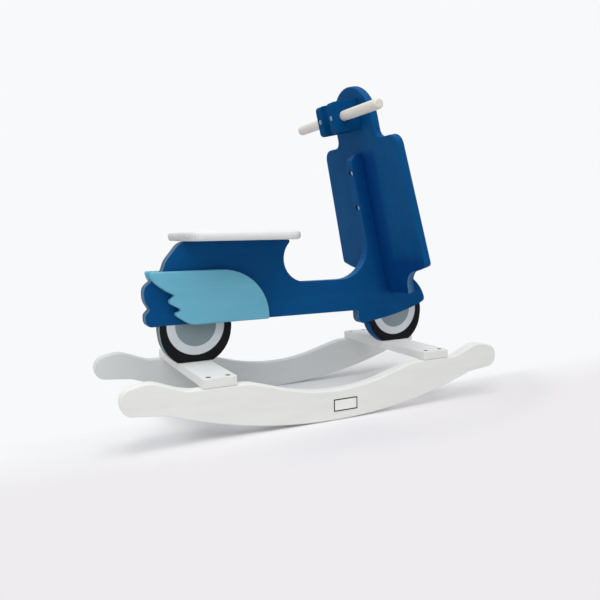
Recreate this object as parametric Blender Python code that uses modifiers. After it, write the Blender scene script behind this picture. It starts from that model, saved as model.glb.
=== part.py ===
"""Wooden rocking scooter for a toddler.

Two wavy rockers carry two crossbars. A single cut-out board in the shape of a scooter
stands on the crossbars along the middle, with a wing panel on each face, a seat board on
top, a leaning front shield that straddles the board, and a handlebar behind the shield.

Frame: metres, +Z up, +X towards the front, origin on the floor under the rockers' middle.
"""

import math

import bmesh
import bpy
from mathutils import Matrix, Vector

# Driving dimensions, in metres
GAP = 0.0003  # between pieces that touch

ROCKER_LENGTH = 0.744
ROCKER_BOARD = 0.022
ROCKER_RADIUS = 0.915  # of the running edge
ROCKER_SPREAD = 0.300  # over the outer faces
ROCKER_PAD_HEIGHT = 0.0865  # where the crossbars lie
ROCKER_WAIST = 0.0535  # height of the dip between the crossbars
TIP_RADIUS = 0.021

BAR_WIDTH = 0.0575
BAR_THICKNESS = 0.016
BAR_SPACING = 0.4355
BAR_SHIFT = 0.0033  # the pair sits a little ahead of the rockers' middle

BODY_BOARD = 0.022
WHEEL_BASE = BAR_SPACING - 0.0015
WHEEL_SHIFT = 0.0055
TYRE_RADIUS = 0.0677
TYRE_FULLER_OUT = 0.0077  # drop of the lower arc's centre, on the side away from the footboard
TYRE_FULLER_IN = 0.0035  # the same on the footboard's side
WHEEL_HEIGHT = 0.0629  # centre above the crossbars
FENDER_RADIUS = 0.0825
FLOORBOARD_BOTTOM = 0.070  # above the crossbars, as the next two
FLOORBOARD_TOP = 0.135
SEAT_UNDERSIDE = 0.219
COLUMN_FRONT = 0.2455  # from the rear wheel's centre to the column's narrowest place
COLUMN_CURVE = 0.046

SEAT_LENGTH = 0.212
SEAT_WIDTH = 0.180
SEAT_BOARD = 0.016
SEAT_CORNER = 0.025

WING_BOARD = 0.016
WING_EASE = 0.0024
WING_LENGTH = 0.2205
WING_HEIGHT = 0.0964
WING_CURVE = 0.0938
WING_AHEAD = 0.1385  # of the rear wheel's centre
WING_LIP = 0.0014
TIP_IN = 0.0036  # feather points and notches: in from the rear end, and below the top
TIP_DROP = 0.0180
SWEEP_IN = 0.0270
SWEEP_DROP = 0.0348
NOTCH_1_IN = 0.0413
NOTCH_1_DROP = 0.0422
FEATHER_1_IN = 0.0272
FEATHER_1_DROP = 0.0538
NOTCH_2_IN = 0.0543
NOTCH_2_DROP = 0.0692
FEATHER_2_IN = 0.0366
FEATHER_2_DROP = 0.0751
WING_FOOT_IN = 0.0679
WING_TIP_ROUND = 0.0040
SWEEP_ROUND = 0.0300

SHIELD_BOARD = 0.016
SHIELD_LEAN = math.radians(12.44)
SHIELD_FOOT = 0.0225  # its rear face behind the front wheel's centre, at the footboard's top
SHIELD_HALF_WIDTH = 0.134  # at the shoulders
SHIELD_FLARE = 0.017  # wider at the lower corners
SHIELD_SHOULDER = 0.283  # heights along the shield, from the footboard's top
SHIELD_LOWER = 0.023
TONGUE_HALF_WIDTH = 0.083
TONGUE_END = -0.031
HEAD_RADIUS = 0.070
NOTCH_RADIUS = 0.035

SPINE_DEPTH = 0.028
SPINE_TOP = 0.262

HANDLE_DIAMETER = 0.020
HANDLE_LENGTH = 0.310
HANDLE_HEIGHT = 0.339  # along the shield
HEAD_CENTRE = HANDLE_HEIGHT - 0.0135
HANDLE_SETBACK = 0.036  # behind the shield's rear face
BLOCK_BOARD = 0.020
BLOCK_SPACING = 0.044  # between the two blocks' middles
BLOCK_DEPTH = 0.061
BLOCK_HEIGHT = 0.060

SCREW_HEAD = 0.009
SCREW_SHANK = 0.004
SCREW_EDGE = 0.012  # from a crossbar's long edges
BOLT_HEAD = 0.012
BOLT_SHANK = 0.006
BOLT_HEIGHTS = (0.154, 0.226)  # along the shield
BOLT_RECESS = 0.0075

# Levels and places that follow from them
BAR_TOP = ROCKER_PAD_HEIGHT + BAR_THICKNESS
ROCKER_Y = (ROCKER_SPREAD - ROCKER_BOARD) / 2
REAR_BAR_X = BAR_SHIFT - BAR_SPACING / 2
FRONT_BAR_X = BAR_SHIFT + BAR_SPACING / 2
REAR_X = WHEEL_SHIFT - WHEEL_BASE / 2
FRONT_X = WHEEL_SHIFT + WHEEL_BASE / 2
WHEEL_Z = BAR_TOP + WHEEL_HEIGHT
FLOOR_LOW = BAR_TOP + FLOORBOARD_BOTTOM
FLOOR_HIGH = BAR_TOP + FLOORBOARD_TOP
SEAT_LOW = BAR_TOP + SEAT_UNDERSIDE
COLUMN_X = REAR_X + COLUMN_FRONT - 0.068 + COLUMN_CURVE
SEAT_X = REAR_X - 0.0270 + SEAT_LENGTH / 2
UP = Vector((-math.sin(SHIELD_LEAN), 0, math.cos(SHIELD_LEAN)))
FORWARD = Vector((math.cos(SHIELD_LEAN), 0, math.sin(SHIELD_LEAN)))
SHIELD_ORIGIN = Vector((FRONT_X - SHIELD_FOOT, 0, FLOOR_HIGH))

for old in list(bpy.data.objects):
    bpy.data.objects.remove(old, do_unlink=True)
scene = bpy.context.scene
parts = bpy.data.collections.new("rocking_scooter")
cutters = bpy.data.collections.new("cutters")
scene.collection.children.link(parts)
scene.collection.children.link(cutters)


def material(name, colour, roughness, metallic=0.0):
    mat = bpy.data.materials.new(name)
    mat.use_nodes = True
    shader = mat.node_tree.nodes["Principled BSDF"]
    shader.inputs["Base Color"].default_value = (*colour, 1)
    shader.inputs["Roughness"].default_value = roughness
    shader.inputs["Metallic"].default_value = metallic
    mat.diffuse_color = (*colour, 1)
    return mat


BLUE = (0.002, 0.068, 0.211)
SKY = (0.146, 0.428, 0.570)
WHITE = (0.82, 0.825, 0.80)
CREAM = (0.645, 0.615, 0.555)
BEECH = (0.78, 0.60, 0.38)
STEEL = (0.10, 0.10, 0.11)
BRIGHT = (0.62, 0.62, 0.62)


def corner(x, z, radius=0.0):
    """A corner of an outline, to be rounded."""
    return ("corner", Vector((x, z)), radius)


def facet(radius):
    """Angle between the points of a round stretch that keeps them 0.18 mm from a true arc."""
    return min(math.radians(30), 2 * math.acos(1 - 0.00018 / max(radius, 0.001)))


def arc(x, z, radius, start, end):
    """A round stretch of an outline, its angles in degrees, drawn from start to end."""
    count = max(2, math.ceil(math.radians(abs(end - start)) / facet(radius)))
    points = []
    for i in range(count + 1):
        angle = math.radians(start + (end - start) * i / count)
        points.append(Vector((x + radius * math.cos(angle), z + radius * math.sin(angle))))
    return ("arc", points)


def outline(items):
    """Points of a closed outline. A rounding shrinks where its sides are too short."""
    total = len(items)
    first = [item[1] if item[0] == "corner" else item[1][0] for item in items]
    last = [item[1] if item[0] == "corner" else item[1][-1] for item in items]
    reach = [0.0] * total
    angles = [0.0] * total
    for i, item in enumerate(items):
        if item[0] == "corner":
            back = last[i - 1] - item[1]
            ahead = first[(i + 1) % total] - item[1]
            angles[i] = back.angle(ahead)
            if item[2] > 0 and angles[i] < math.pi - 0.002:
                reach[i] = item[2] / math.tan(angles[i] / 2)
    for i in range(total):
        j = (i + 1) % total
        side = (first[j] - last[i]).length * 0.98
        if reach[i] + reach[j] > side:
            share = side / (reach[i] + reach[j])
            reach[i] *= share
            reach[j] *= share
    points = []
    for i, item in enumerate(items):
        if item[0] == "arc":
            points += item[1]
        elif reach[i] < 1e-5:
            points.append(item[1])
        else:
            back = (last[i - 1] - item[1]).normalized()
            ahead = (first[(i + 1) % total] - item[1]).normalized()
            radius = reach[i] * math.tan(angles[i] / 2)
            centre = item[1] + (back + ahead).normalized() * radius / math.sin(angles[i] / 2)
            begin = item[1] + back * reach[i] - centre
            turn = math.pi - angles[i]
            if back.cross(ahead) > 0:
                turn = -turn
            count = max(2, math.ceil(abs(turn) / facet(radius)))
            for k in range(count + 1):
                a = turn * k / count
                swung = Vector((begin.x * math.cos(a) - begin.y * math.sin(a),
                                begin.x * math.sin(a) + begin.y * math.cos(a)))
                points.append(centre + swung)
    return points


def upright(y):
    """Outline plane XZ, seen from the right side, with its middle at y."""
    return Matrix(((1, 0, 0, 0), (0, 0, -1, y), (0, 1, 0, 0), (0, 0, 0, 1)))


def on_shield(depth):
    """Outline plane of the shield: across it and up along it, at a depth along its normal."""
    at = SHIELD_ORIGIN + FORWARD * depth
    rows = [(0, UP[k], FORWARD[k], at[k]) for k in range(3)]
    rows[1] = (1, 0, 0, 0)
    return Matrix((*rows, (0, 0, 0, 1)))


def along(axis, at):
    """Local +Z along an axis, for turned pieces."""
    turn = Vector((0, 0, 1)).rotation_difference(Vector(axis))
    return Matrix.Translation(at) @ turn.to_matrix().to_4x4()


def dress(obj, mat):
    obj.data.materials.clear()
    obj.data.materials.append(mat)
    obj.data.shade_smooth()
    obj.data.set_sharp_from_angle(angle=math.radians(35))
    parts.objects.link(obj)
    return obj


def board(name, items, thickness, place, mat, ease=0.0012, segments=2):
    """A flat board cut to an outline, with eased edges."""
    points = outline(items)
    curve = bpy.data.curves.new(name + "_outline", "CURVE")
    curve.dimensions = "2D"
    curve.fill_mode = "BOTH"
    curve.extrude = thickness / 2
    spline = curve.splines.new("POLY")
    spline.points.add(len(points) - 1)
    for spot, p in zip(spline.points, points):
        spot.co = (p.x, p.y, 0, 1)
    spline.use_cyclic_u = True
    guide = bpy.data.objects.new(name + "_outline", curve)
    scene.collection.objects.link(guide)
    guide.matrix_world = place
    bpy.context.view_layer.update()
    graph = bpy.context.evaluated_depsgraph_get()
    mesh = bpy.data.meshes.new_from_object(guide.evaluated_get(graph))
    mesh.name = name
    bm = bmesh.new()
    bm.from_mesh(mesh)
    bmesh.ops.remove_doubles(bm, verts=bm.verts, dist=0.00002)
    flats = [f for f in bm.faces if abs(f.normal.z) > 0.9]
    bmesh.ops.dissolve_faces(bm, faces=[f for f in flats if f.normal.z > 0])
    flats = [f for f in bm.faces if f.normal.z < -0.9]
    bmesh.ops.dissolve_faces(bm, faces=flats)
    bmesh.ops.recalc_face_normals(bm, faces=bm.faces)
    bm.to_mesh(mesh)
    bm.free()
    obj = bpy.data.objects.new(name, mesh)
    obj.matrix_world = guide.matrix_world
    bpy.data.objects.remove(guide, do_unlink=True)
    bpy.data.curves.remove(curve)
    dress(obj, mat)
    if ease > 0:
        bevel = obj.modifiers.new("eased edges", "BEVEL")
        bevel.width = ease
        bevel.segments = segments
        bevel.limit_method = "ANGLE"
        bevel.angle_limit = math.radians(60)
        bevel.use_clamp_overlap = True
        bevel.harden_normals = False
    return obj


def turned(name, profile, place, steps=20):
    """A turned piece from a profile of (radius, height), given from the top down."""
    mesh = bpy.data.meshes.new(name)
    count = len(profile)
    mesh.from_pydata([(r, 0, z) for r, z in profile], [(i, i + 1) for i in range(count - 1)], [])
    obj = bpy.data.objects.new(name, mesh)
    obj.matrix_world = place
    screw = obj.modifiers.new("turning", "SCREW")
    screw.axis = "Z"
    screw.angle = math.tau
    screw.steps = steps
    screw.render_steps = steps
    screw.use_merge_vertices = True
    screw.merge_threshold = 0.00001
    screw.use_normal_calculate = False
    screw.use_smooth_shade = True
    return obj


def as_cutter(obj):
    cutters.objects.link(obj)
    obj.hide_render = True
    obj.display_type = "WIRE"
    return obj


def cut(target, tool):
    boolean = target.modifiers.new(tool.name, "BOOLEAN")
    boolean.operation = "DIFFERENCE"
    boolean.solver = "EXACT"
    boolean.object = tool


def countersunk(length, spare=0.0, top=0.0):
    """Profile of a countersunk screw with its head's top at 0, or of its hole when spare is set."""
    head = SCREW_HEAD / 2 + spare
    shank = SCREW_SHANK / 2 + spare
    rim = -0.0005 - 2 * spare
    profile = [(0, top), (head, top)]
    profile += [(head, rim), (shank, rim - (head - shank))]
    profile += [(shank, -length - spare), (0, -length - spare)]
    return profile


def screw(name, at, axis, length, colour=STEEL):
    """A countersunk screw whose head faces along axis, and the tool that drills its hole."""
    place = along(axis, at)
    sunk = 0.0003
    profile = [(r, z - sunk) for r, z in countersunk(length - sunk)]
    obj = turned(name, profile, place, 12)
    hole = as_cutter(turned(name + "_hole", countersunk(length, GAP, 0.004), place, 12))
    socket = bpy.data.meshes.new(name + "_socket")
    bm = bmesh.new()
    bmesh.ops.create_cone(bm, cap_ends=True, segments=6, radius1=SCREW_HEAD * 0.24,
                          radius2=SCREW_HEAD * 0.24, depth=0.004)
    bm.to_mesh(socket)
    bm.free()
    drive = bpy.data.objects.new(name + "_socket", socket)
    drive.matrix_world = place
    as_cutter(drive)
    cut(obj, drive)
    mat = material(name, colour, 0.4, 0.9)
    dress(obj, mat)
    return obj, hole


# Rockers: a wavy board each, with round tips
TIP_X = ROCKER_LENGTH / 2
SEAM = ROCKER_PAD_HEIGHT - GAP
run_end = TIP_X - 0.090
run_angle = math.degrees(math.asin(run_end / ROCKER_RADIUS))
dip_span = BAR_SPACING / 2 - BAR_WIDTH / 2 - 0.024
dip_drop = (SEAM - ROCKER_WAIST) * 1.472
dip_slope = math.atan2(dip_drop, dip_span)
dip_round = (dip_drop - (SEAM - ROCKER_WAIST)) / (1 / math.cos(dip_slope) - 1)
rocker_items = [
    arc(0, ROCKER_RADIUS, ROCKER_RADIUS, -90 - run_angle, -90 + run_angle),
    corner(TIP_X - 0.069, ROCKER_PAD_HEIGHT - 0.0345, 0.020),
    corner(TIP_X, ROCKER_PAD_HEIGHT - 0.0275, 0.020),
    corner(TIP_X, ROCKER_PAD_HEIGHT + 0.0109, TIP_RADIUS),
    corner(TIP_X - 0.046, ROCKER_PAD_HEIGHT + 0.0215, 0.050),
    corner(TIP_X - 0.1026, SEAM, 0.050),
    corner(BAR_SHIFT + dip_span, SEAM, 0.100),
    corner(BAR_SHIFT * 0.5, SEAM - dip_drop, dip_round),
    corner(BAR_SHIFT - dip_span, SEAM, 0.100),
    corner(-TIP_X + 0.1026, SEAM, 0.050),
    corner(-TIP_X + 0.046, ROCKER_PAD_HEIGHT + 0.0215, 0.050),
    corner(-TIP_X, ROCKER_PAD_HEIGHT + 0.0109, TIP_RADIUS),
    corner(-TIP_X, ROCKER_PAD_HEIGHT - 0.0275, 0.020),
    corner(-TIP_X + 0.069, ROCKER_PAD_HEIGHT - 0.0345, 0.020),
]
rockers = {}
for side, sign in (("right", -1), ("left", 1)):
    rockers[side] = board("rocker_" + side, rocker_items, ROCKER_BOARD,
                          upright(sign * ROCKER_Y), material("rocker_" + side, WHITE, 0.5),
                          0.002)

# Crossbars, lying on the rockers
bars = {}
for end, x in (("rear", REAR_BAR_X), ("front", FRONT_BAR_X)):
    half = BAR_WIDTH / 2
    span = ROCKER_SPREAD / 2
    items = [corner(x - half, -span), corner(x + half, -span),
             corner(x + half, span), corner(x - half, span)]
    place = Matrix.Translation((0, 0, BAR_TOP - BAR_THICKNESS / 2))
    bars[end] = board("crossbar_" + end, items, BAR_THICKNESS, place,
                      material("crossbar_" + end, WHITE, 0.5), 0.001)

# The scooter board: seat column, footboard, spine, fenders and both wheels in one outline
low = WHEEL_Z - BAR_TOP - GAP
floor_turn = math.degrees(math.asin((FLOOR_LOW - WHEEL_Z) / TYRE_RADIUS))
foot = SHIELD_ORIGIN
front_face = foot + FORWARD * (SHIELD_BOARD + GAP)
offset = Vector((front_face.x - FRONT_X, front_face.z - WHEEL_Z))
climb = Vector((UP.x, UP.z))
b = offset.dot(climb)
fender_rise = -b + math.sqrt(b * b - offset.length_squared + FENDER_RADIUS ** 2)
meet = offset + climb * fender_rise
fender_end = math.degrees(math.atan2(meet.y, meet.x))


def near_shield(depth, height):
    p = foot + FORWARD * depth + UP * height
    return p.x, p.z


def tyre_side(x, side, drop, turn):
    """One side of a wheel's outline, fuller towards its flat, up to turn degrees over its middle."""
    radius = TYRE_RADIUS - 0.42 * drop
    foot = -math.degrees(math.asin((low - drop) / radius))
    joint = min(turn, -math.degrees(math.asin((drop + 0.0043) / TYRE_RADIUS)))
    level = TYRE_RADIUS * math.sin(math.radians(joint)) - 0.0012
    meet = math.degrees(math.asin((level + drop) / radius))
    shift = 0.27 * drop
    if side > 0:
        items = [arc(x + shift, WHEEL_Z - drop, radius, foot, meet)]
        if turn > joint:
            items.append(arc(x, WHEEL_Z, TYRE_RADIUS, joint, turn))
        return items
    items = [arc(x - shift, WHEEL_Z - drop, radius, 180 - meet, 180 - foot)]
    if turn > joint:
        items.insert(0, arc(x, WHEEL_Z, TYRE_RADIUS, 180 - turn, 180 - joint))
    return items


throat = (SPINE_DEPTH * math.sin(SHIELD_LEAN)) / math.cos(SHIELD_LEAN)
body_items = tyre_side(REAR_X, -1, TYRE_FULLER_OUT, 5.2)
body_items += tyre_side(REAR_X, 1, TYRE_FULLER_IN, floor_turn)
body_items += [
    corner(FRONT_X - 0.0905, FLOOR_LOW, 0.004),
    corner(FRONT_X - 0.0890, WHEEL_Z - 0.0192, 0.013),
]
body_items += tyre_side(FRONT_X, -1, TYRE_FULLER_IN, -18.5)
body_items += tyre_side(FRONT_X, 1, TYRE_FULLER_OUT, 10.3)
body_items += [
    corner(FRONT_X + FENDER_RADIUS - 0.0025, WHEEL_Z + 0.0185, 0.008),
    arc(FRONT_X, WHEEL_Z, FENDER_RADIUS, 22, fender_end),
    corner(*near_shield(-GAP, fender_rise)),
    corner(*near_shield(-GAP, SPINE_TOP)),
    corner(*near_shield(-SPINE_DEPTH, SPINE_TOP), 0.021),
    corner(*near_shield(-SPINE_DEPTH, throat), 0.064),
    arc(COLUMN_X, FLOOR_HIGH + COLUMN_CURVE, COLUMN_CURVE, 270, 137),
    corner(COLUMN_X - 0.0295, SEAT_LOW - GAP, 0.004),
    corner(REAR_X - 0.0248, SEAT_LOW - GAP, 0.024),
    corner(REAR_X - 0.0530, SEAT_LOW - 0.0350, 0.040),
    corner(REAR_X - 0.0582, SEAT_LOW - 0.0520, 0.012),
    corner(REAR_X - 0.0925, SEAT_LOW - 0.0800, 0.018),
    corner(REAR_X - 0.0925, SEAT_LOW - 0.1030, 0.030),
    corner(REAR_X - 0.0828, SEAT_LOW - 0.1195, 0.0015),
    corner(REAR_X - 0.0912, SEAT_LOW - 0.1280, 0.009),
    corner(REAR_X - 0.0905, WHEEL_Z + 0.0060, 0.012),
]
body = board("body_panel", body_items, BODY_BOARD, upright(0),
             material("body_panel", BLUE, 0.5), 0.0022)

# Wing panels, one on each face of the board, with three feather tips to the rear
WING_FRONT = REAR_X + WING_AHEAD
wing_low = FLOOR_LOW
wing_high = wing_low + WING_HEIGHT
back = WING_FRONT - WING_LENGTH
wing_items = [
    corner(WING_FRONT, wing_low, WING_TIP_ROUND),
    corner(WING_FRONT, wing_high, WING_CURVE),
    corner(back - WING_LIP, wing_high, WING_TIP_ROUND),
    corner(back + TIP_IN, wing_high - TIP_DROP, SWEEP_ROUND - 0.002),
    corner(back + SWEEP_IN, wing_high - SWEEP_DROP, SWEEP_ROUND),
    corner(back + NOTCH_1_IN, wing_high - NOTCH_1_DROP, 0.0022),
    corner(back + FEATHER_1_IN, wing_high - FEATHER_1_DROP, 0.0055),
    corner(back + NOTCH_2_IN, wing_high - NOTCH_2_DROP, 0.0028),
    corner(back + FEATHER_2_IN, wing_high - FEATHER_2_DROP, 0.0042),
    corner(back + WING_FOOT_IN, wing_low, SWEEP_ROUND),
]
wings = {}
for side, sign in (("right", -1), ("left", 1)):
    y = sign * (BODY_BOARD / 2 + GAP + WING_BOARD / 2)
    wings[side] = board("wing_panel_" + side, wing_items, WING_BOARD, upright(y),
                        material("wing_panel_" + side, SKY, 0.5), WING_EASE)

# Seat board with a rounded rim
half_length = SEAT_LENGTH / 2
half_width = SEAT_WIDTH / 2
seat_items = [
    corner(SEAT_X - half_length, -half_width, SEAT_CORNER),
    corner(SEAT_X + half_length, -half_width, SEAT_CORNER),
    corner(SEAT_X + half_length, half_width, SEAT_CORNER),
    corner(SEAT_X - half_length, half_width, SEAT_CORNER),
]
seat = board("seat_board", seat_items, SEAT_BOARD,
             Matrix.Translation((0, 0, SEAT_LOW + SEAT_BOARD / 2)),
             material("seat_board", WHITE, 0.5), SEAT_BOARD * 0.40, 3)

# Front shield: a slotted tongue straddles the scooter board, a round head tops it
slot = BODY_BOARD / 2 + GAP
lower_x = SHIELD_HALF_WIDTH + SHIELD_FLARE
notch_x = TONGUE_HALF_WIDTH + 0.001 + NOTCH_RADIUS
half_shield = [
    corner(slot, TONGUE_END),
    corner(TONGUE_HALF_WIDTH, TONGUE_END, 0.0035),
    arc(notch_x, TONGUE_END + 0.013, NOTCH_RADIUS, 180, 92),
    corner(lower_x - 0.009, SHIELD_LOWER + 0.001, 0.006),
    corner(lower_x + 0.001, SHIELD_LOWER + 0.0045, 0.008),
    corner(SHIELD_HALF_WIDTH + 0.0005, SHIELD_SHOULDER, 0.023),
    corner(HEAD_RADIUS, SHIELD_SHOULDER, 0.016),
]
other_half = []
for item in reversed(half_shield):
    if item[0] == "corner":
        other_half.append(corner(-item[1].x, item[1].y, item[2]))
    else:
        other_half.append(("arc", [Vector((-p.x, p.y)) for p in reversed(item[1])]))
shield_items = half_shield + [arc(0, HEAD_CENTRE, HEAD_RADIUS, 0, 180)] + other_half
shield_items += [corner(-slot, fender_rise + GAP), corner(slot, fender_rise + GAP)]
shield = board("front_shield", shield_items, SHIELD_BOARD, on_shield(SHIELD_BOARD / 2),
               material("front_shield", BLUE, 0.5), 0.002)

# Handle blocks behind the shield's head, and the handlebar through them
blocks = {}
for side, sign in (("right", -1), ("left", 1)):
    y = sign * BLOCK_SPACING / 2
    low_end = HANDLE_HEIGHT - BLOCK_HEIGHT / 2
    high_end = HANDLE_HEIGHT + BLOCK_HEIGHT / 2
    items = [
        corner(*near_shield(-GAP, low_end)),
        corner(*near_shield(-GAP, high_end)),
        corner(*near_shield(-BLOCK_DEPTH, high_end), 0.008),
        corner(*near_shield(-BLOCK_DEPTH, low_end), 0.008),
    ]
    blocks[side] = board("handle_block_" + side, items, BLOCK_BOARD, upright(y),
                         material("handle_block_" + side, BLUE, 0.5), 0.001)

handle_at = foot - FORWARD * HANDLE_SETBACK + UP * HANDLE_HEIGHT
r = HANDLE_DIAMETER / 2
half_bar = HANDLE_LENGTH / 2
profile = [(0, half_bar)]
for i in range(4):
    angle = math.radians(90 - 30 * i)
    profile.append((r - 0.004 + 0.004 * math.cos(angle), half_bar - 0.004 + 0.004 * math.sin(angle)))
profile += [(x, -z) for x, z in reversed(profile)]
handle = turned("handle_bar", profile, along((0, -1, 0), handle_at), 24)
dress(handle, material("handle_bar", CREAM, 0.5))
r_hole = r + GAP
bore = as_cutter(turned("handle_bore", [(0, 0.05), (r_hole, 0.05), (r_hole, -0.05), (0, -0.05)],
                        along((0, -1, 0), handle_at), 32))
for block in blocks.values():
    cut(block, bore)

# Screws through the crossbars' ends into the rockers
bar_screw = BAR_THICKNESS + 0.024
for end, x in (("rear", REAR_BAR_X), ("front", FRONT_BAR_X)):
    for side, sign in (("right", -1), ("left", 1)):
        for row, shift in (("a", -1), ("b", 1)):
            at = (x + shift * (BAR_WIDTH / 2 - SCREW_EDGE), sign * ROCKER_Y, BAR_TOP)
            name = "bar_screw_%s_%s_%s" % (end, side, row)
            obj, hole = screw(name, at, (0, 0, 1), bar_screw)
            cut(bars[end], hole)
            cut(rockers[side], hole)

# Screws from below through the crossbars into the flats of the wheels
for end, x, bar_x in (("rear", REAR_X, REAR_BAR_X), ("front", FRONT_X, FRONT_BAR_X)):
    for row, shift in (("a", -1), ("b", 1)):
        at = (x + shift * 0.014, 0, BAR_TOP - BAR_THICKNESS)
        obj, hole = screw("body_screw_%s_%s" % (end, row), at, (0, 0, -1), bar_screw)
        cut(bars[end], hole)
        cut(body, hole)

# Screws through the shield's head into the handle blocks, and the two that pin the bar
for side, sign in (("right", -1), ("left", 1)):
    y = sign * BLOCK_SPACING / 2
    for row, shift in (("a", -1), ("b", 1)):
        at = foot + FORWARD * SHIELD_BOARD + UP * (HANDLE_HEIGHT + shift * BLOCK_HEIGHT * 0.3)
        at.y = y
        obj, hole = screw("block_screw_%s_%s" % (side, row), at, FORWARD, SHIELD_BOARD + 0.020)
        cut(shield, hole)
        cut(blocks[side], hole)
    at = foot - FORWARD * BLOCK_DEPTH + UP * HANDLE_HEIGHT
    at.y = y
    pin = BLOCK_DEPTH - HANDLE_SETBACK - r + 0.004
    obj, hole = screw("pin_screw_" + side, at, -FORWARD, pin, BRIGHT)
    cut(blocks[side], hole)
    cut(handle, hole)

# Bolts through the spine's rear edge into nuts set in the shield
nut_length = SHIELD_BOARD - 0.004
for number, height in enumerate(BOLT_HEIGHTS, 1):
    at = foot - FORWARD * SPINE_DEPTH + UP * height
    place = along(-FORWARD, at)
    head = BOLT_HEAD / 2
    shank = BOLT_SHANK / 2
    end = SPINE_DEPTH + nut_length - 0.001
    top = -BOLT_RECESS + 0.0035
    profile = [(0, top), (head - 0.001, top), (head, top - 0.001), (head, -BOLT_RECESS + GAP),
               (shank, -BOLT_RECESS + GAP), (shank, -end), (0, -end)]
    bolt = turned("spine_bolt_%d" % number, profile, place, 20)
    socket = bpy.data.meshes.new("spine_bolt_%d_socket" % number)
    bm = bmesh.new()
    bmesh.ops.create_cone(bm, cap_ends=True, segments=6, radius1=BOLT_HEAD * 0.26,
                          radius2=BOLT_HEAD * 0.26, depth=0.004)
    bm.to_mesh(socket)
    bm.free()
    drive = bpy.data.objects.new("spine_bolt_%d_socket" % number, socket)
    drive.matrix_world = place @ Matrix.Translation((0, 0, top))
    as_cutter(drive)
    cut(bolt, drive)
    dress(bolt, material("spine_bolt_%d" % number, BRIGHT, 0.3, 0.9))
    wide = head + 0.0015
    slim = shank + GAP
    hole = as_cutter(turned("spine_bolt_%d_hole" % number,
                            [(0, 0.004), (wide, 0.004), (wide, -BOLT_RECESS), (slim, -BOLT_RECESS),
                             (slim, -SPINE_DEPTH - 0.004), (0, -SPINE_DEPTH - 0.004)], place, 20))
    cut(body, hole)
    outer = shank + 0.002
    low_cut = -SPINE_DEPTH - nut_length
    nut = turned("spine_nut_%d" % number,
                 [(slim, -SPINE_DEPTH - GAP), (outer, -SPINE_DEPTH - GAP),
                  (outer, low_cut + GAP), (0, low_cut + GAP), (0, -end - GAP),
                  (slim, -end - GAP), (slim, -SPINE_DEPTH - GAP)], place, 20)
    dress(nut, material("spine_nut_%d" % number, STEEL, 0.4, 0.9))
    pocket = as_cutter(turned("spine_nut_%d_pocket" % number,
                              [(0, -SPINE_DEPTH + 0.004), (outer + GAP, -SPINE_DEPTH + 0.004),
                               (outer + GAP, low_cut), (0, low_cut)], place, 20))
    cut(shield, pocket)

# Dowels that hold the seat on the column's top
dowel_r = 0.004
for number, share in enumerate((-0.34, 0.0, 0.34), 1):
    at = (SEAT_X + share * SEAT_LENGTH, 0, SEAT_LOW)
    top = SEAT_BOARD - 0.005
    low_end = -0.020
    shape = [(0, top), (dowel_r - 0.001, top), (dowel_r, top - 0.001),
             (dowel_r, low_end + 0.001), (dowel_r - 0.001, low_end), (0, low_end)]
    dowel = turned("seat_dowel_%d" % number, shape, along((0, 0, 1), at), 14)
    dress(dowel, material("seat_dowel_%d" % number, BEECH, 0.6))
    wide = dowel_r + GAP
    hole = as_cutter(turned("seat_dowel_%d_hole" % number,
                            [(0, top + GAP), (wide, top + GAP), (wide, low_end - GAP),
                             (0, low_end - GAP)], along((0, 0, 1), at), 16))
    cut(seat, hole)
    cut(body, hole)
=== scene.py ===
import math

import bmesh
import bpy
from mathutils import Matrix, Vector


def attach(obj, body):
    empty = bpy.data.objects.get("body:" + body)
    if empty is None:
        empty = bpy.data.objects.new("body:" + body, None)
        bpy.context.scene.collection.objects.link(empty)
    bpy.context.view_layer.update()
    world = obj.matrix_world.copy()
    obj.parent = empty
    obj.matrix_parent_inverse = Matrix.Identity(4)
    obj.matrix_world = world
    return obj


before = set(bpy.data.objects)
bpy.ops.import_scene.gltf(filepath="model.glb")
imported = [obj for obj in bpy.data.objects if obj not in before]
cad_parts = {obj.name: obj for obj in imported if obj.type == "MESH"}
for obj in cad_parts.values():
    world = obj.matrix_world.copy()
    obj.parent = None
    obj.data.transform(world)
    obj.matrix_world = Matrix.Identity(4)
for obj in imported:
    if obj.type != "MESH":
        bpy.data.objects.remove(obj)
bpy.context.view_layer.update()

# Places on the toy, in metres, in the frame's axes
REAR_WHEEL_X, FRONT_WHEEL_X = -0.2118, 0.2222
TYRE_Z = 0.1654  # middle of the tyres' round outline
HUB_Z = 0.1690  # middle of the painted rings and hubs
TYRE_R, RING_R, HUB_R = 0.0750, 0.0535, 0.0380
REAR_FENDER_Z = 0.1725  # the fender's lower edge, over the rear wheel
FRONT_FENDER = (  # points (x, z) along the fender's lower edge, over the front wheel
    (0.148, 0.1450), (0.160, 0.1470), (0.166, 0.1480), (0.181, 0.1505), (0.198, 0.1535),
    (0.224, 0.1585), (0.255, 0.1665), (0.274, 0.1725), (0.290, 0.1780))
FENDER_LOW, FENDER_RISE = 0.14, 0.05  # the range of heights that its curve covers
NOTCH_TOP = 0.255  # of the notches at the shield's lower corners
HEAD_FOOT = 0.500  # where the shield's round head begins
SPINE_TOP = 0.493  # top of the steering column
LEAN = math.radians(12.44)  # of the shield
FORWARD = (math.cos(LEAN), 0.0, math.sin(LEAN))
SHIELD_REAR = 0.2465  # the shield's rear face, along FORWARD
NOTCH_DEPTH = 0.013  # depth over which the painted highlight on a notch's wall fades
ROCKER_FACE = -0.150  # Y of the near rocker's outer face
LABEL_X = (-0.006, 0.0423)
LABEL_Z = (0.0155, 0.0375)
LABEL_CORNER, LEAST_CORNER = 0.0011, 0.0003  # radii
LABEL_CORNER_STEPS = 5
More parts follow.
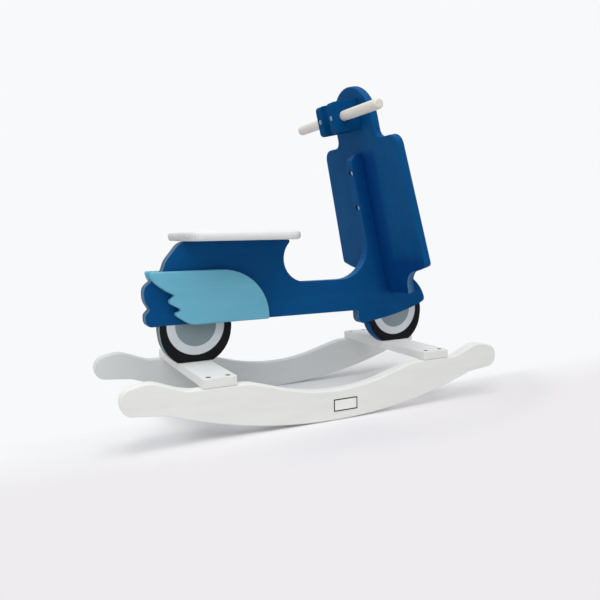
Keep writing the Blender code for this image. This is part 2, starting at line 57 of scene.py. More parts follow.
LABEL_SECTION = (  # inset from the outer edge, and height above the rocker
    (0.0, 0.00002), (0.0, 0.00038), (0.00015, 0.00050), (0.00180, 0.00050), (0.00195, 0.00034))

# Where a look comes in: each pair gives where it starts and where it is full
TAIL_X = (-0.06, -0.10)
NEAR_Y = (0.009, -0.010)
HEEL_REAR_X, HEEL_FRONT_X, HEEL_Z = (0.100, 0.120), (0.152, 0.147), (0.185, 0.180)
CURVE_X = (0.02, 0.10)  # the front of the footwell's curve
CORNER_DEPTH = (SHIELD_REAR - 0.031, SHIELD_REAR - 0.006)
CORNER_Z = (0.195, 0.215)
COLUMN_Y = (0.064, 0.044)  # beside the steering column
SHIELD_LOW_Z = (0.294, 0.270)
SPINE_TOP_Z = (SPINE_TOP + 0.012, SPINE_TOP - 0.012)
SHIELD_NEAR_Y = (0.011, -0.011)  # from the far face of the scooter board to the near one
HEAD_Z = (HEAD_FOOT - 0.01, HEAD_FOOT + 0.01)
NOTCH_Z = (NOTCH_TOP + 0.004, NOTCH_TOP - 0.006)
ROCKER_REAR_X = (-0.12, -0.33)
SOFT = 0.00035  # half the width of a painted line's edge

# The same by the way a face is turned: parts of its normal, or their size, from -1 to 1
BACK_TURN, EDGE_TURN = (-0.03, -0.15), (0.998, 0.955)
UP_TURN, UP_EDGE_TURN = (0.20, 0.75), (0.95, 0.60)
WHEEL_TURN = (0.45, 0.70)
SHIELD_REAR_TURN, SHIELD_WALL_TURN = (-0.5, -0.8), (0.85, 0.55)
SEAT_END_TURN = (0.35, 0.85)
RUNNING_TURN = (-0.55, -0.97)

# How much of a look comes in where it is full
# Wear and painted highlight on the rounded arrises
BOARD_WEAR_SHEEN, SHIELD_WEAR_SHEEN, SEAT_WEAR_SHEEN, ROCKER_WEAR_SHEEN, WHEEL_WEAR_SHEEN = 0.30, 0.30, 0.40, 0.75, 0.25
HEAD_WEAR_SHEEN = 0.9  # more of it round the shield's head
TAIL_SHARE, TYRE_EDGE_SHARE, HEEL_SHARE, CURVE_SHARE = 0.80, 0.85, 0.75, 0.55
CORNER_SHADE_SHARE = 0.85
NOTCH_HIGHLIGHT = (0.80, 0.12)  # at the rear face, and deeper in
SEAT_END_SHADE_SHARE, SCUFF_SHARE, PORE_SHARE = 0.85, 0.75, 0.55
FAR_ROCKER_REAR_SHADE = 0.75

# Paints, lacquers and metals, each in its darker and its lighter tone
BOARD_BLUE = ((0.0010, 0.0600, 0.190), (0.0022, 0.0760, 0.232))
SHIELD_BLUE = ((0.0011, 0.0620, 0.190), (0.0024, 0.0785, 0.232))
BLOCK_BLUE = ((0.0008, 0.0530, 0.168), (0.0018, 0.0670, 0.205))
WING_BLUE = ((0.132, 0.402, 0.540), (0.160, 0.455, 0.600))
BAR_WHITE = ((0.735, 0.740, 0.722), (0.790, 0.795, 0.777))
SEAT_WHITE = ((0.695, 0.700, 0.690), (0.750, 0.755, 0.745))
# Painted shade on the seat's ends
SEAT_END_SHADE = ((0.480, 0.490, 0.485), (0.700, 0.705, 0.695))
NEAR_WHITE = ((0.775, 0.782, 0.752), (0.835, 0.842, 0.812))
# Painted shade: a cooler copy of the near rocker's white, for the far rocker
FAR_SHADE_WHITE = ((0.775, 0.790, 0.780), (0.832, 0.847, 0.837))
TYRE_BLACK = ((0.0070, 0.0080, 0.0095), (0.0130, 0.0145, 0.0155))
RING_PALE = ((0.558, 0.598, 0.628), (0.634, 0.674, 0.708))
HUB_GREY = ((0.190, 0.245, 0.270), (0.235, 0.290, 0.315))
LABEL_FIELD = ((0.835, 0.840, 0.820), (0.885, 0.888, 0.865))
LABEL_FRAME = ((0.010, 0.010, 0.011), (0.020, 0.020, 0.022))
DOWEL = ((0.620, 0.595, 0.545), (0.722, 0.697, 0.644))
BEECH = ((0.560, 0.390, 0.225), (0.690, 0.510, 0.320))
DARK_STEEL = ((0.034, 0.034, 0.038), (0.070, 0.070, 0.074))
BRIGHT_STEEL = ((0.660, 0.730, 0.780), (0.800, 0.860, 0.910))
PIN_STEEL = ((0.190, 0.275, 0.375), (0.360, 0.455, 0.560))

# The same where they are worn, scuffed or open in pores, and their painted highlights and painted
# shade
# Lighter on the rounded arrises: wear and painted highlight
BLUE_EDGE = (0.120, 0.225, 0.330)
WING_EDGE = (0.270, 0.590, 0.730)
BAR_EDGE = (0.82, 0.82, 0.80)
SEAT_EDGE = (0.80, 0.80, 0.78)
ROCKER_EDGE = (0.880, 0.880, 0.850)
WHEEL_EDGE = (0.11, 0.13, 0.15)
FIELD_EDGE = (0.9, 0.9, 0.88)
FRAME_EDGE = (0.06, 0.06, 0.06)
# Painted highlight on rear-facing edges, lighter on the near half
TAIL_EDGE_HIGHLIGHT = ((0.042, 0.080, 0.115), (0.120, 0.200, 0.285))  # far half, near half
TYRE_EDGE_HIGHLIGHT = ((0.105, 0.140, 0.165), (0.270, 0.330, 0.370))
HEEL_EDGE_HIGHLIGHT = (0.060, 0.150, 0.270)
# painted highlight on the footwell curve's upward-facing edge
CURVE_HIGHLIGHT = (0.030, 0.160, 0.370)
# painted highlight on the notch walls
NOTCH_WALL_HIGHLIGHT = (0.110, 0.230, 0.345)
# painted shade towards a rocker's rear
ROCKER_REAR_SHADE = (0.630, 0.645, 0.632)
ROCKER_SCUFF = (0.500, 0.400, 0.285)
DOWEL_PORE = (0.42, 0.35, 0.28)
BEECH_PORE = (0.30, 0.18, 0.09)
# tint of the painted shade in corners
CORNER_SHADE_TINT = (0.45, 0.60, 0.90)

# Directions: the axis that a board lies square to, and the grain that draws a noise out
ACROSS = (0.0, 1.0, 0.0)
UPWARDS = (0.0, 0.0, 1.0)
GRAIN_X = (0.12, 1.0, 1.0)
GRAIN_Y = (1.0, 0.12, 1.0)
GRAIN_Z = (1.0, 1.0, 0.12)
BLOCK_GRAIN = (0.3, 1.0, 1.0)
NO_GRAIN = (1.0, 1.0, 1.0)

NOISE_RANGE = (0.3, 0.7)  # what a noise mostly keeps to
ARRIS_RANGE = (0.35, 0.95)
PAINT_ROUGH = (0.46, 0.60)
ROCKER_ROUGH = (0.44, 0.58)
DOWEL_ROUGH = (0.42, 0.56)
TYRE_DULLER, SEAT_END_DULLER, SCUFF_DULLER = 0.06, 0.12, 0.18  # added to the roughness
PEEL_DEPTH = 0.00009  # this and the next three in metres
PORE_DEPTH = 0.00012
TURNING_DEPTH = 0.00003
WHEEL_COAT = 0.00006  # thickness of the wheels' paint over the blue

# The studio
WHITE_BACK = (0.939, 0.947, 0.965)
FLOOR_GREY = ((0.848, 0.833, 0.856), (0.862, 0.847, 0.870))
FLOOR_LIGHT = 1.12  # how bright the lamps show a white floor
FLOOR_ROUGH = 0.8
FLOOR_DROP = 0.0002
FLOOR_REACH = 14.0

# Where the backdrop's white hides the floor
BACKDROP_SLOPE, BACKDROP_FADE = -0.05, (-0.22, 0.0)  # behind the toy
BACKDROP_SHARE = 0.10
OUTER_FADE = (1.3, 2.8)  # far out on all sides
TOY_OVAL = (0.46, 0.27)  # half widths of the oval that holds the toy and its shadow
OVAL_MIDDLE, OVAL_FADE = (0.05, 0.0, 0.0), (0.95, 1.40)  # in those half widths
TIP_MIDDLE, TIP_FADE = (0.375, 0.26, 0.0), (0.05, 0.12)  # seen below the far rocker's tip
LEFT_X, LEFT_Y = (-0.24, -0.31), (-0.06, 0.02)  # past the rear ends
RIGHT_SLOPE, RIGHT_FADE, RIGHT_Y = -0.8, (0.29, 0.36), (-0.08, -0.01)  # past the front ends
# Painted light: the floor's glow lightens the near rocker's shadow here
FRONT_X = (0.20, 0.42)  # below the front ends
NEAR_X, BEFORE_Y = (0.03, 0.14), (-0.06, -0.11)  # in front of the near rocker
SHADOW_LIGHTEN_SHARE = 0.38

SKY_LEVEL = 0.46
LAMPS = (  # name, place, what it points at, size, watts
    ("overhead", (-0.15, -0.60, 2.15), (0.0, 0.0, 0.2), (2.0, 1.6), 28.5),
    ("key", (-1.25, -1.40, 1.80), (0.05, 0.0, 0.25), (0.8, 0.8), 12.0),
    ("front", (0.30, -2.15, 0.55), (0.0, 0.0, 0.25), (1.0, 0.5), 1.5),
    ("back", (-1.8, 0.85, 0.50), (0.0, 0.0, 0.3), (0.7, 0.6), 2.5))

# The camera stands where the photograph was taken from
CAMERA_PLACE = (-0.5223, -1.0715, 0.3296)
YAW, PITCH, ROLL = 0.4576, 0.0631, -0.0168  # radians
PICTURE, FOCAL, SHIFT_UP = 600, 605.686, -27  # pixels
SENSOR_MM = 36.0
CLIP = (0.02, 60.0)  # metres


class Graph:
    """A node tree, written as a chain of small calls."""

    def __init__(self, owner):
        self.owner = owner
        owner.use_nodes = True
        self.tree = owner.node_tree
        self.tree.nodes.clear()

    def add(self, kind, **settings):
        node = self.tree.nodes.new(kind)
        for key, value in settings.items():
            setattr(node, key, value)
        return node

    def feed(self, socket, value):
        if value is None:
            return
        if isinstance(value, bpy.types.NodeSocket):
            self.tree.links.new(value, socket)
        elif socket.type == "RGBA" and len(value) == 3:
            socket.default_value = (*value, 1.0)
        else:
            socket.default_value = value

    def feed_all(self, node, *values):
        for socket, value in zip(node.inputs, values):
            self.feed(socket, value)
        return node.outputs[0]

    def math(self, operation, a, b=None, c=None):
        return self.feed_all(self.add("ShaderNodeMath", operation=operation), a, b, c)

    def times(self, first, *others):
        """The product of several masks."""
        for other in others:
            first = self.math("MULTIPLY", first, other)
        return first

    def most(self, first, *others):
        """The largest of several masks."""
        for other in others:
            first = self.math("MAXIMUM", first, other)
        return first

    def vector(self, operation, a, b=None, out=0):
        node = self.add("ShaderNodeVectorMath", operation=operation)
        self.feed(node.inputs[0], a)
        self.feed(node.inputs[1], b)
        return node.outputs[out]

    def dot(self, a, b):
        return self.vector("DOT_PRODUCT", a, b, out=1)

    def distance(self, a, b):
        return self.vector("DISTANCE", a, b, out=1)

    def split(self, vector):
        node = self.add("ShaderNodeSeparateXYZ")
        self.feed(node.inputs[0], vector)
        return node.outputs

    def join(self, x, y, z):
        return self.feed_all(self.add("ShaderNodeCombineXYZ"), x, y, z)

    def span(self, value, low, high, start=0.0, end=1.0, smooth=False):
        """start at low, end at high, and what lies between them in between."""
        kind = "SMOOTHSTEP" if smooth else "LINEAR"
        node = self.add("ShaderNodeMapRange", interpolation_type=kind)
        return self.feed_all(node, value, low, high, start, end)

    def noise(self, scale, detail=2.0, rough=0.5, stretch=NO_GRAIN, shift=0.0, warp=0.0):
        """Noise in the toy's own axes. The shift keeps one noise from another."""
        at = self.vector("MULTIPLY", self.place, stretch)
        if shift:
            at = self.vector("ADD", at, (shift, shift * 0.7, shift * 1.3))
        node = self.add("ShaderNodeTexNoise")
        self.feed(node.inputs["Vector"], at)
        self.feed(node.inputs["Scale"], scale)
        self.feed(node.inputs["Detail"], detail)
        self.feed(node.inputs["Roughness"], rough)
        self.feed(node.inputs["Distortion"], warp)
        return node.outputs["Fac"]

    def mix(self, share, a, b):
        node = self.add("ShaderNodeMix", data_type="RGBA")
        self.feed(node.inputs[0], share)
        self.feed(node.inputs[6], a)
        self.feed(node.inputs[7], b)
        return node.outputs[2]

    def bump(self, height, distance, normal=None):
        node = self.add("ShaderNodeBump")
        self.feed(node.inputs["Strength"], 1.0)
        self.feed(node.inputs["Distance"], distance)
        self.feed(node.inputs["Height"], height)
        self.feed(node.inputs["Normal"], normal)
        return node.outputs[0]

    def ease(self, axis):
        """1 on the rounded arris between a board's face, square to axis, and its edge."""
        lean = self.dot(self.normal, axis)
        square = self.math("MULTIPLY", lean, lean)
        off = self.math("ABSOLUTE", self.math("MULTIPLY_ADD", square, 2.0, -1.0))
        return self.math("SUBTRACT", 1.0, off)

    def seen(self):
        """1 on the rays that show the studio: straight to the camera, reflected or let through."""
        path = self.add("ShaderNodeLightPath")
        rays = ("Is Camera Ray", "Is Glossy Ray", "Is Transmission Ray")
        return self.most(*(path.outputs[ray] for ray in rays))

    def surface(self, kind, shader):
        self.tree.links.new(shader, self.add(kind).inputs["Surface"])

    def principled(self, colour, rough, normal=None, metallic=0.0, specular=0.5):
        shader = self.add("ShaderNodeBsdfPrincipled")
        self.feed(shader.inputs["Base Color"], colour)
        self.feed(shader.inputs["Roughness"], rough)
        self.feed(shader.inputs["Normal"], normal)
        self.feed(shader.inputs["Metallic"], metallic)
        self.feed(shader.inputs["Specular IOR Level"], specular)
        return shader.outputs[0]

    def finish(self, colour, rough, normal, **settings):
        shader = self.principled(colour, rough, normal, **settings)
        self.surface("ShaderNodeOutputMaterial", shader)
        return self.owner


def material(name):
    g = Graph(bpy.data.materials.new(name))
    coord = g.add("ShaderNodeTexCoord")
    g.place = coord.outputs["Object"]
    g.normal = coord.outputs["Normal"]
    return g


def paint_tones(g, tones, grain):
    """Rolled paint: slow drifts of tone, and faint streaks along the board."""
    drift = g.noise(5.5, detail=3.0, rough=0.55, shift=3.1)
    streak = g.noise(70.0, detail=3.0, rough=0.6, stretch=grain, shift=1.7)
    fleck = g.noise(420.0, rough=0.6, shift=5.3)
    share = g.math("MULTIPLY_ADD", streak, 0.45, g.times(drift, 0.40))
    share = g.math("MULTIPLY_ADD", fleck, 0.15, share)
    return g.mix(g.span(share, 0.34, 0.66), *tones)


def paint_skin(g, grain):
    """The orange peel of a roller over the board's faint fibres."""
    peel = g.noise(620.0, rough=0.55, shift=2.2)
    fibre = g.noise(240.0, detail=3.0, rough=0.6, stretch=grain, shift=4.1)
    height = g.math("MULTIPLY_ADD", fibre, 0.45, g.times(peel, 0.55))
    return g.bump(height, PEEL_DEPTH)


def paint_gloss(g, rough=PAINT_ROUGH):
    """Roughness that drifts a little over the paint."""
    return g.span(g.noise(34.0, detail=3.0, rough=0.6, shift=6.4), *NOISE_RANGE, *rough)


def wear_and_sheen(g, axis, share, low=0.30, high=0.62):
    """Wear and painted highlight along the rounded arrises, in patches that come and go."""
    arris = g.span(g.ease(axis), *ARRIS_RANGE, 0.0, share)
    patch = g.noise(55.0, detail=4.0, rough=0.62, shift=7.9)
    return g.times(arris, g.span(patch, low, high))


def corner_shade(g, colour, share):
    """Painted shade: deeper blue in the corner between board and shield."""
    shaded = g.vector("MULTIPLY", colour, CORNER_SHADE_TINT)
    return g.mix(g.times(share, CORNER_SHADE_SHARE), colour, shaded)


def painted(name, tones, edge, axis, grain, specular=0.05, edge_share=0.6):
    """Satin paint on board, lighter where the arrises are rounded: wear and painted highlight."""
    g = material(name)
    colour = g.mix(wear_and_sheen(g, axis, edge_share), paint_tones(g, tones, grain), edge)
    return g.finish(colour, paint_gloss(g), paint_skin(g, grain), specular=specular)


def fender_line(g, x):
    """Height of the front fender's lower edge over x."""
    curve = g.add("ShaderNodeFloatCurve")
    start, end = FRONT_FENDER[0][0], FRONT_FENDER[-1][0]
    points = curve.mapping.curves[0].points
    while len(points) < len(FRONT_FENDER):
        points.new(0.5, 0.5)
    for point, (along, up) in zip(points, FRONT_FENDER):
        point.location = ((along - start) / (end - start), (up - FENDER_LOW) / FENDER_RISE)
    curve.mapping.update()
    g.feed(curve.inputs["Value"], g.span(x, start, end))
    return g.math("MULTIPLY_ADD", curve.outputs[0], FENDER_RISE, FENDER_LOW)


def scooter_board():
    """Blue paint, with the two wheels painted on the board's faces."""
    g = material("board_paint")
    x, y, z = g.split(g.place)
    side = g.split(g.normal)
    turned = g.math("ABSOLUTE", side[1])  # 1 on the faces and 0 on the edge
    back_edge = g.times(g.span(side[0], *BACK_TURN), g.span(turned, *EDGE_TURN))
    tail = g.span(x, *TAIL_X)
    near_side = g.span(y, *NEAR_Y)

    blue = paint_tones(g, BOARD_BLUE, GRAIN_X)
    blue = g.mix(wear_and_sheen(g, ACROSS, BOARD_WEAR_SHEEN), blue, BLUE_EDGE)
    # Painted highlight on the tail's rear-facing edges, lighter on the near half
    blue = g.mix(g.times(back_edge, tail, TAIL_SHARE), blue, g.mix(near_side, *TAIL_EDGE_HIGHLIGHT))
    heel = g.times(g.span(x, *HEEL_REAR_X), g.span(x, *HEEL_FRONT_X), g.span(z, *HEEL_Z))
    # Painted highlight on the rear-facing edges low down, just behind the front wheel
    blue = g.mix(g.times(heel, back_edge, HEEL_SHARE), blue, HEEL_EDGE_HIGHLIGHT)
    # Painted highlight on the upward-facing edges of the footwell's curve
    upper_edge = g.times(g.span(side[2], *UP_TURN), g.span(turned, *UP_EDGE_TURN))
    blue = g.mix(g.times(upper_edge, g.span(x, *CURVE_X), CURVE_SHARE), blue, CURVE_HIGHLIGHT)
    # Painted shade in the corner where the board meets the shield
    corner = g.span(g.dot(g.place, FORWARD), *CORNER_DEPTH, smooth=True)
    blue = corner_shade(g, blue, g.times(corner, g.span(z, *CORNER_Z, smooth=True)))

    flat = g.join(x, 0.0, z)

    def discs(radius, height):
        """The same disc on both wheels."""
        both = []
        for middle in (REAR_WHEEL_X, FRONT_WHEEL_X):
            gap = g.distance(flat, (middle, 0.0, height))
            both.append(g.span(gap, radius + SOFT, radius - SOFT))
        return both

    rear_tyre, front_tyre = discs(TYRE_R, TYRE_Z)
    ring = g.most(*discs(RING_R, HUB_Z))
    hub = g.most(*discs(HUB_R, HUB_Z))
    rear_tyre = g.times(rear_tyre, g.span(z, REAR_FENDER_Z + SOFT, REAR_FENDER_Z - SOFT))
    above_line = g.math("SUBTRACT", z, fender_line(g, x))
    front_tyre = g.times(front_tyre, g.span(above_line, SOFT, -SOFT))
    tyres = g.most(rear_tyre, front_tyre)
    # Painted highlight on the rear tyre's rear-facing edge, lighter on the near half
    tyre_edge_highlight = g.times(tyres, back_edge, tail, TYRE_EDGE_SHARE)
    blue = g.mix(tyre_edge_highlight, blue, g.mix(near_side, *TYRE_EDGE_HIGHLIGHT))

    not_back = g.math("SUBTRACT", 1.0, back_edge)
    wheel = g.times(tyres, g.span(turned, *WHEEL_TURN), not_back)
    tone = g.noise(38.0, detail=3.0, rough=0.6, shift=8.8)
    wheel_paint = g.mix(ring, g.mix(tone, *TYRE_BLACK), g.mix(tone, *RING_PALE))
    wheel_paint = g.mix(hub, wheel_paint, g.mix(tone, *HUB_GREY))
    wheel_paint = g.mix(wear_and_sheen(g, ACROSS, WHEEL_WEAR_SHEEN, low=0.40), wheel_paint, WHEEL_EDGE)

    tyre_face = g.times(wheel, g.math("SUBTRACT", 1.0, ring))
    gloss = g.math("MULTIPLY_ADD", tyre_face, TYRE_DULLER, paint_gloss(g))
    skin = g.bump(g.times(wheel, WHEEL_COAT), 1.0, paint_skin(g, GRAIN_X))
    return g.finish(g.mix(wheel, blue, wheel_paint), gloss, skin, specular=0.05)


def shield_paint():
    """Blue paint, with wear and painted highlights on the arrises, painted highlights on the notch
    walls and painted shade beside the steering column.
    """
    g = material("shield_paint")
    y, z = g.split(g.place)[1:]
    turn = g.dot(g.normal, FORWARD)  # 1 on the front face and -1 on the rear one
    wear_sheen = wear_and_sheen(g, FORWARD, SHIELD_WEAR_SHEEN)
    wear_sheen = g.times(wear_sheen, g.math("MULTIPLY_ADD", g.span(z, *HEAD_Z), HEAD_WEAR_SHEEN, 1.0))
    colour = g.mix(wear_sheen, paint_tones(g, SHIELD_BLUE, GRAIN_Z), BLUE_EDGE)

    # Painted shade: the steering column's shadow on the near half of the shield's rear face,
    # beside the column and low down
    column = g.span(g.math("ABSOLUTE", y), *COLUMN_Y, smooth=True)
    corner = g.most(column, g.span(z, *SHIELD_LOW_Z, smooth=True))
    corner = g.times(corner, g.span(z, *SPINE_TOP_Z, smooth=True))
    rear_near = g.times(g.span(turn, *SHIELD_REAR_TURN), g.span(y, *SHIELD_NEAR_Y))
    colour = corner_shade(g, colour, g.times(corner, rear_near))

    wall = g.span(g.math("ABSOLUTE", turn), *SHIELD_WALL_TURN)
    wall = g.times(wall, g.span(z, *NOTCH_Z))
    depth = g.dot(g.place, FORWARD)
    # Painted highlight on the notch walls, strongest at the rear face
    wall_highlight = g.span(depth, SHIELD_REAR, SHIELD_REAR + NOTCH_DEPTH, *NOTCH_HIGHLIGHT)
    colour = g.mix(g.times(wall, wall_highlight), colour, NOTCH_WALL_HIGHLIGHT)
    return g.finish(colour, paint_gloss(g), paint_skin(g, GRAIN_Z), specular=0.05)


def seat_paint():
    """White paint, with painted shade on the board's ends, which are also rougher."""
    g = material("seat_paint")
    colour = paint_tones(g, SEAT_WHITE, GRAIN_X)
    colour = g.mix(wear_and_sheen(g, UPWARDS, SEAT_WEAR_SHEEN), colour, SEAT_EDGE)
    # Painted shade on the seat's ends, mottled; rougher there too
    end = g.span(g.math("ABSOLUTE", g.split(g.normal)[0]), *SEAT_END_TURN)
    mottle = g.noise(330.0, detail=3.0, rough=0.6, shift=5.1)
    end_shade = g.mix(g.span(mottle, 0.35, 0.65), *SEAT_END_SHADE)
    colour = g.mix(g.times(end, SEAT_END_SHADE_SHARE), colour, end_shade)
    gloss = g.math("MULTIPLY_ADD", end, SEAT_END_DULLER, paint_gloss(g))
    return g.finish(colour, gloss, paint_skin(g, GRAIN_X), specular=0.10)


def rocker_paint(name, tones, rear_shade=0.0):
    """White paint, scuffed where the running edge meets the floor, and with painted shade towards
    the rear if given.
    """
    g = material(name)
    colour = paint_tones(g, tones, GRAIN_X)
    if rear_shade:
        # Painted shade: darker towards the rocker's rear end
        rear = g.span(g.split(g.place)[0], *ROCKER_REAR_X, 0.0, rear_shade, smooth=True)
        colour = g.mix(rear, colour, ROCKER_REAR_SHADE)
    wear_sheen = wear_and_sheen(g, ACROSS, ROCKER_WEAR_SHEEN, low=0.20, high=0.55)
    colour = g.mix(wear_sheen, colour, ROCKER_EDGE)
    down = g.span(g.split(g.normal)[2], *RUNNING_TURN)
    patch = g.noise(90.0, detail=5.0, rough=0.65, stretch=(0.35, 1.0, 1.0), shift=9.4)
    scuff = g.times(down, g.span(patch, 0.50, 0.64))
    colour = g.mix(g.times(scuff, SCUFF_SHARE), colour, ROCKER_SCUFF)
    gloss = g.math("MULTIPLY_ADD", scuff, SCUFF_DULLER, paint_gloss(g, ROCKER_ROUGH))
    return g.finish(colour, gloss, paint_skin(g, GRAIN_X), specular=0.25)


def grained(name, tones, pore, grain, pore_grain, specular=0.25):
    """Lacquered or unpainted dowel: long soft grain, with short pores in it."""
    g = material(name)
    figure = g.noise(26.0, detail=4.0, rough=0.6, stretch=grain, shift=2.6, warp=0.6)
    line = g.noise(420.0, detail=3.0, rough=0.6, stretch=grain, shift=1.4)
    share = g.math("MULTIPLY_ADD", line, 0.4, g.times(figure, 0.6))
    colour = g.mix(g.span(share, 0.36, 0.64), *tones)
    pores = g.span(g.noise(900.0, stretch=pore_grain, shift=5.8), 0.62, 0.72)
    colour = g.mix(g.times(pores, PORE_SHARE), colour, pore)
    film = g.noise(60.0, detail=3.0, rough=0.6, shift=6.4)
    gloss = g.span(film, *NOISE_RANGE, *DOWEL_ROUGH)
    height = g.math("MULTIPLY_ADD", pores, -0.5, g.times(line, 0.4))
    return g.finish(colour, gloss, g.bump(height, PORE_DEPTH), specular=specular)


def steel(name, tones, rough):
    """Steel with fine turning marks and a dull film."""
    g = material(name)
    film = g.noise(160.0, detail=4.0, rough=0.6, shift=2.9)
    fine = g.noise(1600.0, shift=0.8)
    colour = g.mix(g.span(film, *NOISE_RANGE), *tones)
    gloss = g.math("MULTIPLY_ADD", fine, 0.5, g.times(film, 0.5))
    gloss = g.span(gloss, *NOISE_RANGE, *rough)
    return g.finish(colour, gloss, g.bump(fine, TURNING_DEPTH), metallic=1.0)


def round_corners(middle, half, inset):
    """Points (x, z) round the label, with its corners rounded."""
    radius = max(LABEL_CORNER - inset, LEAST_CORNER)
    for cx, cz, turn in ((1, -1, -90), (1, 1, 0), (-1, 1, 90), (-1, -1, 180)):
        for step in range(LABEL_CORNER_STEPS):
            angle = math.radians(turn + 90 * step / (LABEL_CORNER_STEPS - 1))
            yield (middle.x + cx * (half.x - inset - radius) + radius * math.cos(angle),
                   middle.y + cz * (half.y - inset - radius) + radius * math.sin(angle))


def label_plate():
    """A small blank plate in a dark frame on the near rocker's face."""
    (left, right), (low, high) = LABEL_X, LABEL_Z
    middle = Vector(((left + right) / 2, (low + high) / 2))
    half = Vector(((right - left) / 2, (high - low) / 2))
    bm = bmesh.new()
    rings = []
    for inset, out in LABEL_SECTION:
        rings.append([bm.verts.new((x, ROCKER_FACE - out, z))
                      for x, z in round_corners(middle, half, inset)])
    count = len(rings[0])
    for outer, inner in zip(rings, rings[1:]):
        for i in range(count):
            after = (i + 1) % count
            face = bm.faces.new((outer[i], outer[after], inner[after], inner[i]))
            face.material_index = 1
    bm.faces.new(rings[-1]).material_index = 0
    bm.faces.new(list(reversed(rings[0]))).material_index = 1
    bmesh.ops.recalc_face_normals(bm, faces=bm.faces)
    mesh = bpy.data.meshes.new("label_plate")
    bm.to_mesh(mesh)
    bm.free()
    plate = bpy.data.objects.new("label_plate", mesh)
    bpy.context.scene.collection.objects.link(plate)
    mesh.materials.append(painted("label_field", LABEL_FIELD, FIELD_EDGE, ACROSS, NO_GRAIN,
                                  specular=0.3, edge_share=0.0))
    mesh.materials.append(painted("label_frame", LABEL_FRAME, FRAME_EDGE, ACROSS, NO_GRAIN,
                                  specular=0.1, edge_share=0.2))
    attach(plate, "root")


def dress(node, mat):
    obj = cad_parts[node]
    for slot in obj.material_slots:
        slot.link = "OBJECT"
        slot.material = mat
    if not obj.material_slots:
        obj.data.materials.append(mat)


# What each node wears, by how its name starts; the rest are dark screws and nuts
LOOKS = (
    ("body_panel", scooter_board()),
    ("front_shield", shield_paint()),
    ("seat_board", seat_paint()),
    ("rocker_right", rocker_paint("near_rocker_paint", NEAR_WHITE)),
    ("rocker_left", rocker_paint("far_rocker_shaded_paint", FAR_SHADE_WHITE, rear_shade=FAR_ROCKER_REAR_SHADE)),
    ("crossbar_", painted("crossbar_paint", BAR_WHITE, BAR_EDGE, UPWARDS, GRAIN_Y,
                          specular=0.25)),
    ("wing_panel", painted("wing_paint", WING_BLUE, WING_EDGE, ACROSS, GRAIN_X,
                           edge_share=0.8)),
    ("handle_block", painted("block_paint", BLOCK_BLUE, BLUE_EDGE, ACROSS, BLOCK_GRAIN,
                             specular=0.02, edge_share=0.25)),
    ("handle_bar", grained("dowel_lacquer", DOWEL, DOWEL_PORE, (1.0, 0.05, 1.0),
                           (1.0, 0.10, 1.0))),
    ("seat_dowel", grained("beech_peg", BEECH, BEECH_PORE, (1.0, 1.0, 0.05),
                           (1.0, 1.0, 0.10), specular=0.2)),
    ("spine_bolt", steel("bright_steel", BRIGHT_STEEL, (0.28, 0.44))),
    ("pin_screw", steel("pin_steel", PIN_STEEL, (0.30, 0.46))),
    ("", steel("dark_steel", DARK_STEEL, (0.36, 0.54))),
)
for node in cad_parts:
    dress(node, next(look for start, look in LOOKS if node.startswith(start)))

label_plate()


def floor_fade(g, px, py, behind):
    """How far the backdrop's white hides the floor: away from the toy and its shadow. Below the
    front ends and in front of the near rocker the glow also lightens the shadow, as painted light.
    """
    flat = g.join(px, py, 0.0)
    around = g.vector("MULTIPLY", flat, (1 / TOY_OVAL[0], 1 / TOY_OVAL[1], 0.0))
    away = g.distance(around, OVAL_MIDDLE)
    fade = g.span(away, *OVAL_FADE, smooth=True)
    fade = g.most(fade, g.times(behind, BACKDROP_SHARE))
    fade = g.times(fade, g.span(g.distance(flat, TIP_MIDDLE), *TIP_FADE, smooth=True))
    left = g.times(g.span(px, *LEFT_X, smooth=True), g.span(py, *LEFT_Y, smooth=True))
    past_tip = g.span(g.math("MULTIPLY_ADD", py, RIGHT_SLOPE, px), *RIGHT_FADE, smooth=True)
    right = g.times(past_tip, g.span(py, *RIGHT_Y, smooth=True))
    # Painted light: glow that lightens the shadow below the front ends and in front of the near
    # rocker
    front = g.span(px, *FRONT_X, 0.0, SHADOW_LIGHTEN_SHARE, smooth=True)
    near = g.times(g.span(px, *NEAR_X, smooth=True), g.span(py, *BEFORE_Y, smooth=True))
    return g.most(fade, left, right, front, g.times(near, SHADOW_LIGHTEN_SHARE))


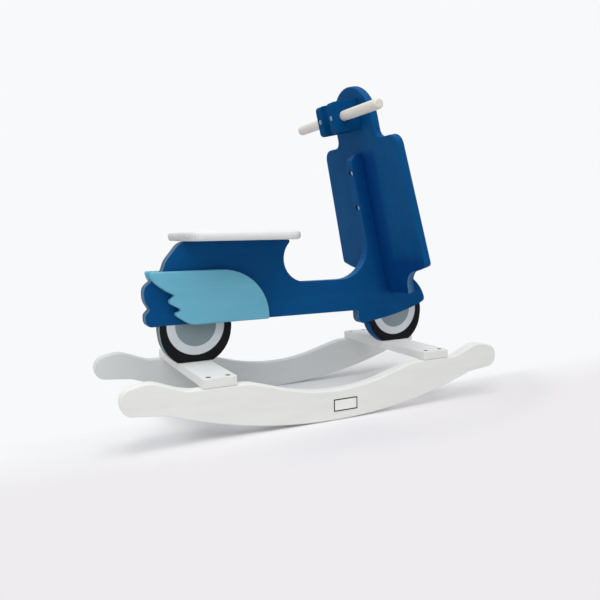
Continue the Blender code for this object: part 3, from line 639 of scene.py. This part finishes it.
def studio_floor():
    """The pale floor, with the backdrop's white coming in behind the toy."""
    g = material("studio_floor")
    px, py = g.split(g.place)[:2]
    across = g.math("MULTIPLY_ADD", px, BACKDROP_SLOPE, py)
    behind = g.span(across, *BACKDROP_FADE, smooth=True)
    from_middle = g.vector("LENGTH", g.join(px, py, 0.0), out=1)
    outer = g.span(from_middle, *OUTER_FADE, smooth=True)
    near = g.mix(g.noise(3.0), *FLOOR_GREY)
    tone = g.mix(g.most(behind, outer), near, WHITE_BACK)
    lit = g.vector("MULTIPLY", tone, (1 / FLOOR_LIGHT,) * 3)
    matt = g.principled(lit, FLOOR_ROUGH, specular=0.0)
    white = g.add("ShaderNodeEmission")
    g.feed(white.inputs["Color"], tone)
    share = g.times(g.seen(), floor_fade(g, px, py, behind))
    both = g.feed_all(g.add("ShaderNodeMixShader"), share, matt, white.outputs[0])
    g.surface("ShaderNodeOutputMaterial", both)

    r = FLOOR_REACH
    mesh = bpy.data.meshes.new("studio_floor")
    mesh.from_pydata([(-r, -r, 0), (r, -r, 0), (r, r, 0), (-r, r, 0)], [], [(0, 1, 2, 3)])
    mesh.materials.append(g.owner)
    floor = bpy.data.objects.new("studio_floor", mesh)
    floor.location.z = -FLOOR_DROP
    bpy.context.scene.collection.objects.link(floor)


def studio_sky():
    """Even light from all round, and the backdrop's white where the sky itself is seen."""
    world = bpy.data.worlds.new("studio")
    bpy.context.scene.world = world
    g = Graph(world)
    shades = []
    for colour, strength in (((1.0, 1.0, 1.0), SKY_LEVEL), (WHITE_BACK, 1.0)):
        shade = g.add("ShaderNodeBackground")
        g.feed(shade.inputs["Color"], colour)
        g.feed(shade.inputs["Strength"], strength)
        shades.append(shade.outputs[0])
    both = g.feed_all(g.add("ShaderNodeMixShader"), g.seen(), *shades)
    g.surface("ShaderNodeOutputWorld", both)


def lamp(name, place, target, size, watts):
    light = bpy.data.lights.new(name, "AREA")
    light.shape = "RECTANGLE"
    light.size, light.size_y = size
    light.energy = watts
    obj = bpy.data.objects.new(name, light)
    obj.location = place
    aim = Vector(target) - Vector(place)
    obj.rotation_euler = aim.to_track_quat("-Z", "Y").to_euler()
    bpy.context.scene.collection.objects.link(obj)


def stand_camera():
    ahead = Vector((math.sin(YAW) * math.cos(PITCH), math.cos(YAW) * math.cos(PITCH),
                    -math.sin(PITCH)))
    right = Vector((math.cos(YAW), -math.sin(YAW), 0.0))
    above = right.cross(ahead)
    turned_right = math.cos(ROLL) * right + math.sin(ROLL) * above
    turned_above = -math.sin(ROLL) * right + math.cos(ROLL) * above
    camera = bpy.data.cameras.new("camera")
    camera.sensor_fit = "HORIZONTAL"
    camera.sensor_width = SENSOR_MM
    camera.lens = FOCAL / PICTURE * SENSOR_MM
    camera.shift_y = SHIFT_UP / PICTURE
    camera.clip_start, camera.clip_end = CLIP
    eye = bpy.data.objects.new("camera", camera)
    pose = Matrix((turned_right, turned_above, -ahead)).transposed().to_4x4()
    pose.translation = CAMERA_PLACE
    eye.matrix_world = pose
    bpy.context.scene.collection.objects.link(eye)
    bpy.context.scene.camera = eye


studio_floor()
studio_sky()
for row in LAMPS:
    lamp(*row)
stand_camera()
bpy.context.scene.view_settings.view_transform = "Standard"
